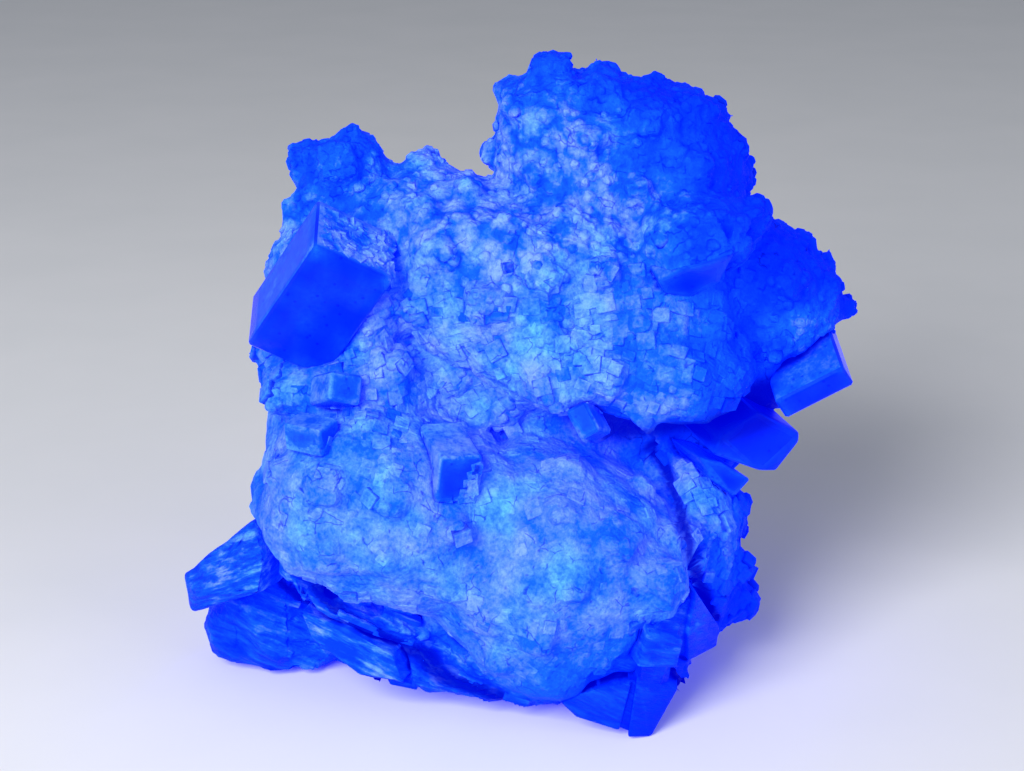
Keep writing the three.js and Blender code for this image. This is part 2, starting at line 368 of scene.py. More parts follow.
class Shade:
    """One material, built node by node."""

    def __init__(self, name):
        self.material = bpy.data.materials.new(name)
        self.material.use_nodes = True
        self.tree = self.material.node_tree
        self.tree.nodes.clear()
        self.where = self.place()

    def node(self, kind, settings, values, out=0):
        """Adds a node, sets it up, fills or links its inputs, and gives one output."""
        made = self.tree.nodes.new("ShaderNode" + kind)
        for key, value in settings.items():
            setattr(made, key, value)
        for key, value in values.items():
            if isinstance(value, Wire):
                self.tree.links.new(value.socket, made.inputs[key])
            else:
                made.inputs[key].default_value = value
        return Wire(self, made.outputs[out]) if made.outputs else None

    def math(self, operation, a, b):
        return self.node("Math", {"operation": operation}, {0: a, 1: b})

    def clip(self, value, low, high):
        """0 at low, 1 at high, and straight between."""
        return self.node("MapRange", {}, {"Value": value, "From Min": low, "From Max": high})

    def mix(self, share, a, b):
        """Colour a where share is 0, colour b where it is 1."""
        return self.node("Mix", {"data_type": "RGBA"}, {0: share, 6: a, 7: b}, out=2)

    def place(self):
        """Object coordinates in millimetres."""
        coordinates = self.node("TexCoord", {}, {}, out="Object")
        return self.node("Mapping", {}, {"Vector": coordinates, "Scale": [1 / MM] * 3})

    def value(self, name):
            return self.node("Attribute", {"attribute_name": name}, {}, out="Fac")

    def vector(self, name, stretch=(1, 1, 1)):
        """A vector kept at the vertices, stretched."""
        kept = self.node("Attribute", {"attribute_name": name}, {}, out="Vector")
        return self.node("Mapping", {}, {"Vector": kept, "Scale": stretch})

    def noise(self, size, detail=2.0, rough=0.5, where=None, out=0):
        """Cloudy noise from 0 to 1, with clouds about this many millimetres wide."""
        inputs = {"Vector": where or self.where, "Scale": 1 / size, "Detail": detail, "Roughness": rough}
        return self.node("TexNoise", {}, inputs, out)

    def cells(self, size, where=None, **settings):
        """How far a point lies from its cell's middle or edge, as a share of the cells' size."""
        return self.node("TexVoronoi", settings, {"Vector": where or self.where, "Scale": 1 / size})

    def bent(self, size, amount):
        """The place shifted by noise, which bends straight edges."""
        amounts = {0: self.noise(size, out="Color"), 1: [amount] * 3, 2: self.where}
        return self.node("VectorMath", {"operation": "MULTIPLY_ADD"}, amounts)

    def bump(self, height, depth, normal=None):
        """A bump whose height runs from 0 to 1 over this many millimetres."""
        values = {"Height": height, "Distance": depth * MM}
        if normal:
            values["Normal"] = normal
        return self.node("Bump", {}, values)

    def finish(self, inputs):
        """Ends the material with a shader that has these inputs."""
        self.node("OutputMaterial", {}, {"Surface": self.node("BsdfPrincipled", {}, inputs)})
        print("material:", self.material.name, len(self.tree.nodes), "nodes")
        return self.material


# %% [markdown]
# ### Fluorite's colours
# Clear fluorite looks deep blue, a thin haze turns it to a clean mid blue, and thick frost is
# pale. So paleness from 0 to 1, painted light included, is read through three colours. "open" is 1
# where a point sees the sky and falls to 0 in cracks and hollows, where the base colour goes to a
# painted shade blue and the painted glow dims: painted shade.

# %% Colours that all finishes share
PALE_BLUE = (0.150, 0.272, 0.58, 1)
PALE_CYAN = (0.085, 0.335, 0.64, 1)
MID_BLUE = (0.006, 0.085, 0.50, 1)
CLEAR_BLUE = (0.0006, 0.012, 0.40, 1)
# Painted shade: the colour of cracks and hollows, where little light gets in.
PAINTED_SHADE_BLUE = (0.0, 0.0008, 0.08, 1)
# Painted glow: an emission in place of the fluorescence that ultraviolet light brings out.
PAINTED_GLOW = (0.0, 0.008, 0.80, 1)
# A dimmer painted glow for hollows and cracks, as painted shade.
PAINTED_GLOW_IN_SHADE = (0.0, 0.0002, 0.52, 1)
GLOSS_TINT = (0.02, 0.12, 1.0, 1)
CONSTANTS = {"Emission Strength": 1.0, "Specular Tint": GLOSS_TINT, "Specular IOR Level": 0.05}


def fluorite(shade, frost, open_share, roughness, normal, constants=CONSTANTS):
    """Finishes a material as fluorite this pale, painted light included, and this open to the sky."""
    clouds = shade.clip(shade.noise(11, 3), 0.45, 0.68)
    pale = shade.mix(clouds, PALE_BLUE, PALE_CYAN)
    thin = shade.mix(shade.clip(frost, 0.0, 0.4), CLEAR_BLUE, MID_BLUE)
    face = shade.mix(shade.clip(frost, 0.4, 1.0), thin, pale)
    # Painted shade: less open points go to the painted shade blue, and their painted glow dims.
    base = shade.mix(open_share, PAINTED_SHADE_BLUE, face)
    painted_glow = shade.mix(open_share, PAINTED_GLOW_IN_SHADE, PAINTED_GLOW)
    inputs = {"Base Color": base, "Emission Color": painted_glow, "Roughness": roughness, "Normal": normal}
    return shade.finish({**inputs, **constants})


# %% [markdown]
# ### The crust
# The crust is sugary, and swells in soft clumps of smaller lumps, most of all on the dome, which
# "clumpy" tells. The clumps are painted paler on top and darker between them, and the little
# pits darker, as painted shade. Hairline cracks part some of the clumps. The haze is how pale that
# part of the specimen is, painted light included; the tone differs from cube to cube, and is
# darker on low cubes and in hollows, as painted shade; and "deep" is how far a point lies below
# its cube's own top, in millimetres: shade is painted down between the cubes.

# %% The crust's finish
CLUMP = 3.9
CRUMB = 1.6
SUGAR = 0.75
CRACKED_CLUMP = 4.5
PIT = 2.4
ROUND = (0.80, 0.25)
SUGAR_DULL = 0.62


def sugary(shade):
    """How pale, how high and how open the clumps, pits and cracks make a point, with painted shade."""
    bent = shade.bent(2.2, 2.4)
    clumps = shade.clip(shade.cells(CLUMP, bent), *ROUND)
    lumps = shade.clip(shade.cells(CRUMB, bent), *ROUND)
    sugar = shade.clip(shade.noise(SUGAR, 4, 0.65), 0.32, 0.62)
    edge = shade.cells(CRACKED_CLUMP, shade.bent(3, 2.2), feature="DISTANCE_TO_EDGE")
    some = shade.clip(shade.noise(3.5, 3), 0.54, 0.60)
    pits = shade.clip(shade.cells(PIT), 0.05, 0.19)
    # Painted shade: the clumps are paler on top and darker between them.
    pattern = 0.36 + 0.80 * clumps + 0.30 * lumps
    sugar_frost_and_painted_shade = (0.66 + 0.34 * sugar) * (1 - shade.value("clumpy") * (1 - pattern))
    height = shade.value("clumpy") * (0.60 * clumps + 0.25 * lumps) + 0.15 * sugar
    # Dark hairline cracks, and painted shade in the little pits.
    whole = (1 - 0.65 * some * (1 - shade.clip(edge, 0.006, 0.036))) * (0.6 + 0.4 * pits)
    return shade.value("haze") * shade.value("tone") * sugar_frost_and_painted_shade, height, whole


def crust_finish():
    shade = Shade("frosted_crust")
    frost, height, whole = sugary(shade)
    # Painted shade down the cubes' sides, below their own tops.
    top = shade.clip(shade.value("deep"), 0.90, 0.12)
    open_share = shade.value("open") * (0.25 + 0.75 * top) * whole
    return fluorite(shade, frost * shade.value("open"), open_share, SUGAR_DULL, shade.bump(height, 0.8))


crust_material = crust_finish()

# %% [markdown]
# ### The massive fluorite and the large crystals
# The foot is glassy, cleaved fluorite in thin layers, so its finish has long streaks. "layers"
# is the place measured along and across the layers. The large crystals are clear blue inside,
# and frosted where the crust meets them, and paler on some faces, partly frost and partly painted
# light on the faces that look up or left, which the crystals keep at their vertices. "along" is
# the place measured along the crystal's own edges, which squares the growth steps up with the
# faces. The crystals let light through by plain transmission.

# %% The finishes of the foot and the crystals
STREAKS = (0.16, 0.3, 1.0)
GLASS = {**CONSTANTS, "Specular IOR Level": 0.22, "Transmission Weight": 0.18, "IOR": 1.434}


def layered(shade):
    """How pale the massive fluorite's layers are, painted light included, and their height."""
    streaks = shade.clip(shade.noise(1.3, 5, 0.65, shade.vector("layers", STREAKS)), 0.42, 0.62)
    patches = shade.clip(shade.noise(4.5, 5, 0.6), 0.44, 0.60)
    frost = shade.value("haze") * (0.08 + 0.45 * streaks + 0.45 * patches * (0.3 + 0.7 * streaks))
    return frost, streaks


def foot_finish():
    shade = Shade("cleaved_fluorite")
    frost, streaks = layered(shade)
    bump = shade.bump(shade.noise(1.1, 3), 0.05, shade.bump(streaks, 0.40))
    return fluorite(shade, frost, shade.value("open"), 0.35 + 0.25 * streaks, bump)


def rock_finish():
    """Crust where the rock is crusted, layered fluorite where it is bare."""
    shade = Shade("rock_under_the_crust")
    bare_frost_and_painted_light, streaks = layered(shade)
    crust_frost_and_painted_light, height, whole = sugary(shade)
    on_crust = shade.value("crusted")
    frost = crust_frost_and_painted_light * on_crust + bare_frost_and_painted_light * (1 - on_crust)
    open_share = shade.value("open") * (1 - on_crust * (1 - whole))
    relief_height = height * on_crust + 0.4 * streaks * (1 - on_crust)
    dull = SUGAR_DULL - 0.15 * (1 - on_crust)
    return fluorite(shade, frost, open_share, dull, shade.bump(relief_height, 0.8))


def crystal_finish():
    shade = Shade("glassy_crystal")
    mottles = shade.clip(shade.noise(2.6, 4, 0.6), 0.36, 0.66)
    specks = shade.clip(shade.cells(2.3), 0.06, 0.18)
    steps = shade.cells(2.6, shade.vector("along"), distance="CHEBYCHEV")
    speckle = shade.clip(shade.noise(0.8, 3, 0.7), 0.38, 0.60)
    frost = shade.value("haze") * shade.value("frost") * (0.40 + 0.45 * mottles + 0.30 * speckle)
    open_share = shade.value("open") * (0.45 + 0.55 * specks)
    bump = shade.bump(steps, 0.04, shade.bump(shade.noise(0.8, 4), 0.025))
    return fluorite(shade, frost, open_share, 0.14 + 0.4 * shade.value("frost"), bump, GLASS)


foot_material = foot_finish()
rock_material = rock_finish()
crystal_material = crystal_finish()

# %% [markdown]
# ## The rock
# A voxel remesh gives the coarse solid an even fine skin, a smooth takes its corners off, and
# displacements raise the knobs that the crust grows in. The lower block, whose crust is fused,
# is smoothed further and gets little relief.

# %% Remesh, knobs and roughness
SKIN_GRID = 0.85 * MM
SKIN_SMOOTHING = 5
FUSED_SMOOTHING = 14
FUSED_RELIEF = 0.45
NODULAR_LEFT = (36 * MM, 6 * MM)
ROCK_RELIEF = [
    ("rugged", 7.0, -1.1, 0.35, 0),
    ("knobby", 3.4, -1.0, 0.40, 0),
    ("lumpy", 5.0, 1.5, 0.5, 2),
    ("nodular", 8.0, -2.0, 0.35, 0),
    ("rugged", 1.8, 0.6, 0.5, 3),
]


def relief(piece, rows):
    """Pushes the skin in and out. A row holds a vertex group, the size and the height in
    millimetres, the level that stays put, and the depth of the clouds, or 0 for round knobs."""
    for group, size, height, middle, depth in rows:
        texture = bpy.data.textures.new(f"{piece.name}_{group}_{size}", "CLOUDS" if depth else "VORONOI")
        texture.noise_scale = size * MM
        if depth:
            texture.noise_depth = depth
        settings = {"texture": texture, "mid_level": middle, "vertex_group": group}
        apply_modifier(piece, "DISPLACE", strength=height * MM, **settings)


rock = copy_of("rock_with_crust", "rock")
apply_modifier(rock, "REMESH", mode="VOXEL", voxel_size=SKIN_GRID)
coarse = corners_of(rock)
rugged = ruggedness(coarse)
on_crust = crusted(coarse)
whole = 1 - near_line(coarse, *UNDERCUT)
weigh(
    rock,
    fused=(1 - FUSED_RELIEF * rugged) * on_crust * whole,
    rugged=FUSED_RELIEF + (1 - FUSED_RELIEF) * rugged,
    knobby=np.maximum(knobbiness(coarse), 0.5 * rugged),
    lumpy=(1 - rugged) * whole,
    nodular=(1 - on_crust) * ramp(-coarse[:, 0], *NODULAR_LEFT),
)
apply_modifier(rock, "SMOOTH", iterations=SKIN_SMOOTHING)
apply_modifier(rock, "SMOOTH", iterations=FUSED_SMOOTHING, vertex_group="fused")
smooth_places, smooth_normals = corners_of(rock), normals_of(rock)
relief(rock, ROCK_RELIEF)
raised = ((corners_of(rock) - smooth_places) * smooth_normals).sum(axis=1) / MM
print("rock:", len(rock.data.polygons), "faces, raised", np.round(np.percentile(raised, [2, 50, 98]), 2))

# %% [markdown]
# Massive fluorite splits in thin layers, which dip to the right, or to the left in the left
# block. Where the foot is bare, its skin steps down from layer to layer.

# %% Layers
LAYER_DIP = math.radians(24)
LEFT_DIP = math.radians(-23)


def layer_frame(dip):
    """Along the layers, across the specimen, and square to the layers, as rows."""
    return np.array([[math.cos(dip), 0, -math.sin(dip)], [0, 1, 0], [math.sin(dip), 0, math.cos(dip)]])


def in_layers(places, dip=LAYER_DIP):
    """Places measured along and across the layers, in millimetres."""
    return places @ layer_frame(dip).T / MM


# %% [markdown]
# Wherever the skin comes near a crystal or block that is set in it, it is drawn in to meet the
# crystal's face, so that no groove is left and no bump stands through. The bare foot lies a
# crust's thickness lower, and a crack runs down the right side. Nothing passes the solid
# model's box.

# %% Meeting the crystals, and inside the box
SET_NODES = [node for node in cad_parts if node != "rock_with_crust"]
MEETING = 1.5 * MM
MEETING_DEPTH = 0.06 * MM
SEARCH = 8 * MM
BARED = [((-17, -30, 54), 4.5), ((31.6, -19.3, 86), 9.5)]
BARED_MEETING = 4 * MM
DRAWN_SLOPE = 1.6
COVERED = [
    ((52, -3, 69), 8.5), ((-42, -16, 22), 7), ((34, -25, 31), 6.5), ((24, -4, 47), 6), ((31, -20, 6), 6),
]
COVERED_SHARE = 0.8
TUCKED = [((30.5, -21, 5), 5)]
TUCKED_TO = (20, -8, 10)
TUCKED_SHARE = 0.8
LEDGE = 3.2 * MM
LEDGE_DEPTH = 1.1 * MM
LEDGE_WAVE, LEDGE_WAVE_LENGTH = 2 * MM, 9 * MM
LEDGES_FROM = -45 * MM
CRACK_DEPTH = 1.6 * MM
CRUST_THICKNESS = 0.9 * MM
DRAWN_SMOOTHING = 16
PIT_MIDDLE = (-56.8, -8.5, 7.5)
PIT_RADIUS = 5.0
PIT_DEPTH = 2.2 * MM


def tree_of(meshes):
    """The faces of several meshes, to be asked for the nearest one or for what a ray hits."""
    points = []
    faces = []
    for mesh in meshes:
        first = len(points)
        points += [vertex.co.copy() for vertex in mesh.vertices]
        faces += [[first + i for i in polygon.vertices] for polygon in mesh.polygons]
    return BVHTree.FromPolygons(points, faces)


set_tree = tree_of([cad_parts[node].data for node in SET_NODES])


def outside_by(point):
    """How far a point lies outside the crystals, up to SEARCH, and the nearest face's place and normal."""
    found, normal, _, distance = set_tree.find_nearest(Vector(point), SEARCH)
    if found is None:
        return SEARCH, None, None
    side = 1 if (Vector(point) - found).dot(normal) >= 0 else -1
    return side * distance, found, normal


def fit_skin(piece):
    """Sinks the cracks and the bare foot, meets the crystals and stays inside the box."""
    places = corners_of(piece)
    bare = 1 - crusted(places)
    height = (places @ layer_frame(LAYER_DIP)[2] + LEDGE_WAVE * cloudy(places, LEDGE_WAVE_LENGTH)) / LEDGE
    sunk = CRACK_DEPTH * near_line(places, *RIGHT_CRACK) + CRUST_THICKNESS * bare
    sunk += LEDGE_DEPTH * (height % 1) * bare * (places[:, 0] > LEDGES_FROM)
    sunk += PIT_DEPTH * fading(away_from(places, PIT_MIDDLE), PIT_RADIUS, 1.3)
    places -= sunk[:, None] * smooth_normals
    tucked = in_balls(places, TUCKED)[:, None]
    places += TUCKED_SHARE * tucked * (np.array(TUCKED_TO) * MM - places)
    meeting = MEETING + (BARED_MEETING - MEETING) * in_balls(places, BARED)
    meeting *= 1 - COVERED_SHARE * in_balls(places, COVERED)
    drawn = np.zeros(len(places))
    for i, point in enumerate(places):
        gap, found, normal = outside_by(point)
        drawn[i] = np.clip(DRAWN_SLOPE - gap / meeting[i], 0, 1)
        if drawn[i] > 0:
            places[i] += drawn[i] * (np.array(found - MEETING_DEPTH * normal) - point)
    place_corners(piece, places)
    weigh(piece, drawn=drawn > 0)
    apply_modifier(piece, "SMOOTH", iterations=DRAWN_SMOOTHING, vertex_group="drawn")
    place_corners(piece, np.clip(corners_of(piece), *cad_box))
    print(piece.name, "points drawn to the crystals:", int((drawn > 0).sum()))


fit_skin(rock)
rock_tree = tree_of([rock.data])

# %% [markdown]
# A hollow is dark because little light gets in and out of it. So rays go out from each point in
# a fan, and the share of them that gets away is kept as "open". The finishes paint that darkness
# into their colour and glow, as painted shade.

# %% How open each place is
FAN_TILTS = [math.radians(35), math.radians(65)]
FAN_TURNS = 5
HOLLOW = 7 * MM
RAY_START = 0.3 * MM


def fan():
    """Directions round straight up, as shares of side, across and up."""
    rays = [(0, 0, 1)]
    for tilt in FAN_TILTS:
        for step in range(FAN_TURNS):
            turn = 2 * math.pi * step / FAN_TURNS + tilt
            rays.append((math.sin(tilt) * math.cos(turn), math.sin(tilt) * math.sin(turn), math.cos(tilt)))
    return rays


def square_to(ups):
    """Two directions square to each of the given ones and to each other."""
    level = np.where(np.abs(ups[:, :1]) > 0.8, [[0.0, 1.0, 0.0]], [[1.0, 0.0, 0.0]])
    sides = unit(np.cross(level, ups))
    return sides, np.cross(ups, sides)


def openness(places, ups):
    """0 in a narrow hollow to 1 on an open face, for each place."""
    sides, across = square_to(ups)
    starts = places + RAY_START * ups
    total = np.zeros(len(places))
    rays = fan()
    for a, b, c in rays:
        for row, ray in enumerate(a * sides + b * across + c * ups):
            hit = specimen_tree.ray_cast(Vector(starts[row]), Vector(ray), HOLLOW)[3]
            total[row] += 1 if hit is None else hit / HOLLOW
    return total / len(rays)


def contrast(open_share):
    """Open faces are fully bright, and what sees under a third of the sky is dark."""
    return ramp(open_share, 0.22, 0.50)


specimen_tree = tree_of([rock.data, *(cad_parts[node].data for node in SET_NODES)])
rock_points, rock_normals = corners_of(rock), normals_of(rock)
rock_open = openness(rock_points, rock_normals)
peaks = ramp(raised, -1.1, 1.6)
print("open, of 5, 50 and 95 in 100 points:", np.round(np.percentile(rock_open, [5, 50, 95]), 2))

# %% [markdown]
# The rock keeps these numbers at its vertices, for its finish to read.

# %% The rock's own numbers
SKIN_TONES = (0.87, 0.90, 0.90)
CRACK_SHADE = 0.92
PIT_SHADE = 0.6
CLUMPINESS = (0.45, 0.55, 1.0)
on_crust = crusted(rock_points)
in_pit = fading(away_from(rock_points, PIT_MIDDLE), PIT_RADIUS, 1.2)
keep(
    rock,
    haze=foot_haze_and_painted_light(rock_points, 1 - on_crust),
    crusted=on_crust,
    clumpy=by_crust(rock_points, *CLUMPINESS),
    # Painted shade: the skin is darker where it lies low.
    tone=by_crust(rock_points, *SKIN_TONES) * (0.7 + 0.3 * peaks),
    # Painted shade in hollows, along the shade lines and in the pit.
    open=contrast(rock_open) * (1 - CRACK_SHADE * in_painted_shade(rock_points)) * (1 - PIT_SHADE * in_pit),
    layers=in_layers(rock_points),
)
dress(rock, rock_material, "rock_with_crust")

# %% [markdown]
# ## One little cube, thousands of times
# The crust is made of cubes with worn edges. Two are modelled: a crisp one, and one so worn
# that it is a little knob, shaded smooth. The others are copies of these, turned, sized and
# placed, and joined in a few meshes, because thousands of objects would be slow.

# %% The model cubes
EDGE_WEAR = 0.05
KNOB_WEAR = 0.23
KNOB_DEEP = 0.45
CUBES_PER_PIECE = 190_000 // 44


def model_cube(wear):
    """The corners and faces of a cube of size 1 with worn edges."""
    bpy.ops.object.select_all(action="DESELECT")
    bpy.ops.mesh.primitive_cube_add(size=1)
    cube = bpy.context.object
    with editing(cube) as mesh:
        mesh.bevel(offset=wear)
    points, faces = corners_of(cube), [list(polygon.vertices) for polygon in cube.data.polygons]
    bpy.data.objects.remove(cube)
    print("model cube:", len(points), "corners,", len(faces), "faces")
    return points, faces


crisp_cube = model_cube(EDGE_WEAR)
knobby_cube = model_cube(KNOB_WEAR)


def joined_cubes(name, cubes, model=crisp_cube):
    """One mesh of many cubes. Each has a place, a frame, three sizes and some numbers."""
    cube_points, cube_faces = model
    scaled = cube_points[None, :, :] * cubes["sizes"][:, None, :]
    points = np.einsum("nki,nij->nkj", scaled, cubes["frames"]) + cubes["places"][:, None, :]
    steps = np.arange(len(points)) * len(cube_points)
    faces = [[step + i for i in face] for step in steps.tolist() for face in cube_faces]
    mesh = bpy.data.meshes.new(name)
    mesh.from_pydata(points.reshape(-1, 3).tolist(), [], faces)
    piece = added(name, mesh)
    deep = (cubes["sizes"][:, None, 2] / 2 - scaled[:, :, 2]) / MM
    if model is knobby_cube:
        pick(piece)
        bpy.ops.object.shade_smooth()
        deep *= KNOB_DEEP
    keep(piece, deep=deep.ravel())
    own = {**cubes, "clumpy": by_crust(cubes["places"], *CLUMPINESS)}
    keep(piece, **{key: np.repeat(own[key], len(cube_points)) for key in ("clumpy", "haze", "tone", "open")})
    return piece


def chosen(cubes, which):
    return {key: values[which] for key, values in cubes.items()}


def inside_box(cubes):
    """Moves each cube that stands through the solid model's box back into it."""
    reach = np.abs(cubes["frames"] * cubes["sizes"][:, :, None]).sum(axis=1) / 2
    low, high = np.array(cad_box[0]) + reach, np.array(cad_box[1]) - reach
    cubes["places"] = np.clip(cubes["places"], low, high)


# %% [markdown]
# The cubes stand on the rock's skin. Places are tried in a shuffled order, and one is kept if no
# kept place is nearer than the spacing there. The shuffle is seeded, so it is the same each run.

# %% Choosing where the cubes stand
chance = np.random.default_rng(11)
SPACINGS = (2.0 * MM, 1.95 * MM, 1.5 * MM)
BACK_SPACING = 1.95 * MM
BACK_SLOPE = 0.5
LEAST_OPEN = 0.45
NORMAL_REACH = 2.6 * MM
LOWEST_CUBE = 1.5 * MM


def spacing_at(points, normals):
    return np.where(normals[:, 1] > BACK_SLOPE, BACK_SPACING, by_crust(points, *SPACINGS))


def spread(points, spacings):
    """The numbers of places that keep their spacing, chosen in a shuffled order."""
    cell = spacings.max()
    keys = np.floor(points / cell).astype(int)
    taken = {}
    kept = []
    around = [(i, j, k) for i in (-1, 0, 1) for j in (-1, 0, 1) for k in (-1, 0, 1)]
    for number in chance.permutation(len(points)):
        point, (a, b, c) = points[number], keys[number]
        limit = spacings[number] ** 2
        near = (other for i, j, k in around for other in taken.get((a + i, b + j, c + k), ()))
        if all(((point - other) ** 2).sum() >= limit for other in near):
            taken.setdefault((a, b, c), []).append(point)
            kept.append(number)
    return np.array(kept)


def thinned(places, normals, spacing):
    """The places that keep this spacing, with their normals."""
    apart = spread(places, np.full(len(places), spacing))
    return places[apart], normals[apart]


middles, face_normals = face_places(rock)
grown = (crusted(middles) > chance.random(len(middles))) & (middles[:, 2] > LOWEST_CUBE)
middles, face_normals = middles[grown], face_normals[grown]
kept = spread(middles, spacing_at(middles, face_normals))
print("places for cubes:", len(kept), "of", len(middles))

# %% [markdown]
# Each cube's top lies nearly along the skin, smoothed over a few faces. The cube is turned to
# follow a grain that winds slowly over the specimen, as neighbouring crystals often do, with a
# little turn and lean of its own. Three values in a row are for the fused, the rugged and the
# knobby crust, and how far a cube rises is in millimetres.

# %% Sizing, turning and joining the cubes
GRAIN_LENGTH = 30 * MM
GRAIN_TURN = math.radians(60)
OWN_TURNS = np.radians([7, 7, 40])
LEANS = np.radians([1.5, 4, 15])
SHARES_SHOWN = (0.30, 1.0, 0.45)
LOWEST = (-0.05, -0.08, -0.08)
RISE = (0.22, 0.62, 0.55)
EDGE_SHARES = (0.95, 1.85)
SIDE_SHARES = (0.88, 1.12)
CLEAR_CUBES = 0.04
CLEAR_TONES = (0.45, 0.8)
LOW_SHADE = 0.10
HOLLOW_SHADE = 0.3
WORN_CUBES = 0.45
OVERLAP = 0.25


def smoothed_normals(places):
    tree = tree_of_points(middles)
    near = ([number for _, number, _ in tree.find_range(place, NORMAL_REACH)] for place in places)
    return unit(np.array([face_normals[numbers].sum(axis=0) for numbers in near]))


def cube_frames(places, normals):
    """The three edge directions of each cube, as the rows of a matrix."""
    up = unit(normals + by_crust(places, *LEANS)[:, None] * chance.normal(size=places.shape))
    own = chance.normal(size=len(places)) * by_crust(places, *OWN_TURNS)
    turn = cloudy(places, GRAIN_LENGTH) * GRAIN_TURN + own
    level = np.stack([np.cos(turn), 0.4 * np.sin(turn), np.sin(turn)], axis=1)
    side = unit(np.cross(up, level))
    return np.stack([np.cross(side, up), side, up], axis=1)


def inside_rock(points):
    nearest = (rock_tree.find_nearest(Vector(point))[:2] for point in points)
    return np.array([(point - np.array(found)) @ out < 0 for point, (found, out) in zip(points, nearest)])


def standing(places, normals, sizes, rise, tone, open_share):
    """Cubes of these sizes whose tops rise this far above the places."""
    return {
        "places": places + normals * (rise - sizes[:, 2] / 2)[:, None],
        "frames": cube_frames(places, normals),
        "sizes": sizes,
        "haze": haze(places),
        "tone": tone,
        # Painted shade: a cube that sees less sky gets a darker colour and glow.
        "open": contrast(open_share),
    }


def crust_cubes():
    places, normals = middles[kept], smoothed_normals(middles[kept])
    count = len(places)
    rugged, knobby = ruggedness(places), knobbiness(places)
    open_share = openness(places, normals)
    edge = spacing_at(places, normals) * chance.uniform(*EDGE_SHARES, count)
    sizes = edge[:, None] * chance.uniform(*SIDE_SHARES, (count, 3))
    height = chance.random(count)
    rise = (by_crust(places, *LOWEST) + by_crust(places, *RISE) * height) * MM
    # Painted shade: lower cubes are darker.
    tone = 1 - LOW_SHADE * (1 - height)
    clear = chance.random(count) < CLEAR_CUBES * (0.2 + 0.8 * rugged)
    tone = np.where(clear, tone * chance.uniform(*CLEAR_TONES, count), tone)
    # Painted shade: cubes in hollows of the rugged and knobby crust are darker.
    hollows = 1 - ramp(open_share, 0.3, 0.55)
    tone *= 1 - HOLLOW_SHADE * np.maximum(rugged, knobby) * hollows
    cubes = standing(places, normals, sizes, rise, tone, open_share)
    # Painted shadow under the overhang, and painted shade in the cracks.
    cubes["open"] *= 1 - CRACK_SHADE * in_painted_shade(places)
    cubes["knobby"] = chance.random(count) < np.maximum(knobby, WORN_CUBES)
    tops = places + normals * rise[:, None]
    gaps = np.array([outside_by(top)[0] for top in tops])
    shown = chance.random(count) < by_crust(places, *SHARES_SHOWN)
    whole = (in_painted_shade(places) < 0.5) & inside_rock(places + normals * (rise - sizes[:, 2])[:, None])
    return chosen(cubes, (gaps > OVERLAP * edge) & (open_share > LEAST_OPEN) & shown & whole)


def grow(name, cubes, model):
    """Joins the cubes in pieces of a size that the export takes, from the top down."""
    inside_box(cubes)
    order = np.argsort(-cubes["places"][:, 2])
    for number, start in enumerate(range(0, len(order), CUBES_PER_PIECE)):
        part = order[start:start + CUBES_PER_PIECE]
        piece = joined_cubes(f"{name}_{number + 1}", chosen(cubes, part), model)
        dress(piece, crust_material)
        print(piece.name, len(part), "cubes")


crust = crust_cubes()
grow("crust_cubes", chosen(crust, ~crust["knobby"]), crisp_cube)
grow("crust_knobs", chosen(crust, crust["knobby"]), knobby_cube)

# %% [markdown]
# ## The large crystals and the cleaved blocks
# Their solids are the right shape, so each piece is a copy, subdivided so that frost can be kept
# at many points of a face. Faces that look up or left are paler, partly frosted and partly painted
# light where the light falls on them, the rim near the crust is frosted, and the faces that look
# forward stay clear.

# %% Dressing the set pieces
BIG_FACE = 8 * MM * MM
CHAMFERED = 30
SHARP_EDGE = 0.5 * MM
CUTS = 7
FLAT_ENOUGH = math.radians(1)
ON_FACE = math.cos(math.radians(3))
SOFT_EDGE = math.radians(22)
# Paleness of faces by direction: partly frost, partly painted light on faces the light falls on.
FACE_FROSTS_AND_PAINTED_LIGHT = {
    "cube_upper_left": [((0.51, -0.31, 0.80), 0.8), ((-0.86, -0.21, 0.47), 0.42)],
    "cube_centre": [((-0.94, -0.34, 0.07), 1.0), ((0.14, -0.17, 0.98), 0.9), ((-0.56, -0.36, 0.74), 0.9)],
    "cube_right": [((-0.50, -0.31, 0.81), 0.62), ((-0.96, -0.16, 0.22), 0.5)],
    "cube_middle": [((0.86, -0.02, 0.51), 0.45), ((-0.23, -0.91, 0.35), 0.05)],
    "cube_cheek": [((-0.86, -0.41, 0.30), 0.75), ((-0.55, 0.04, 0.84), 0.8), ((0.50, -0.79, 0.37), 0.2)],
    "cube_low_left": [((-0.07, -0.14, 0.99), 0.8), ((-0.50, -0.85, -0.16), 0.45)],
    "cube_lower_right": [((0.51, 0.09, 0.86), 0.4)],
    "cube_shelf": [((-0.34, -0.31, 0.89), 0.6), ((-0.51, -0.33, 0.80), 0.6)],
    "block_left": [((-0.61, -0.43, 0.67), 0.5), ((0.62, -0.12, 0.77), 0.5)],
}
WORN_BLOCKS = ("block_left", "block_base")
BLOCK_RELIEF = [("everywhere", 7, 1.1, 0.5, 3), ("everywhere", 2, 0.3, 0.5, 3)]
SAME_FACE = math.cos(math.radians(12))
GROWN_OVER = {"cube_upper_left": (0.51, -0.31, 0.80)}
SHADED = ("cube_lower_right", "cube_notch")
LEAST_CRYSTAL_HAZE = {"cube_right": 0.50, "cube_upper_left": 0.42}
CLEARER = 0.06
LEAST_FROST = 0.06
EDGE_FROST = 0.70
EDGE_GLOW = 1.0 * MM
RIM_REACH = 2.2 * MM
RIM_FROST = 0.35
CLOUDY_FROST = 0.22


def from_rock(places):
    """How far each place lies from the rock's skin."""
    return np.array([rock_tree.find_nearest(Vector(place))[3] for place in places])


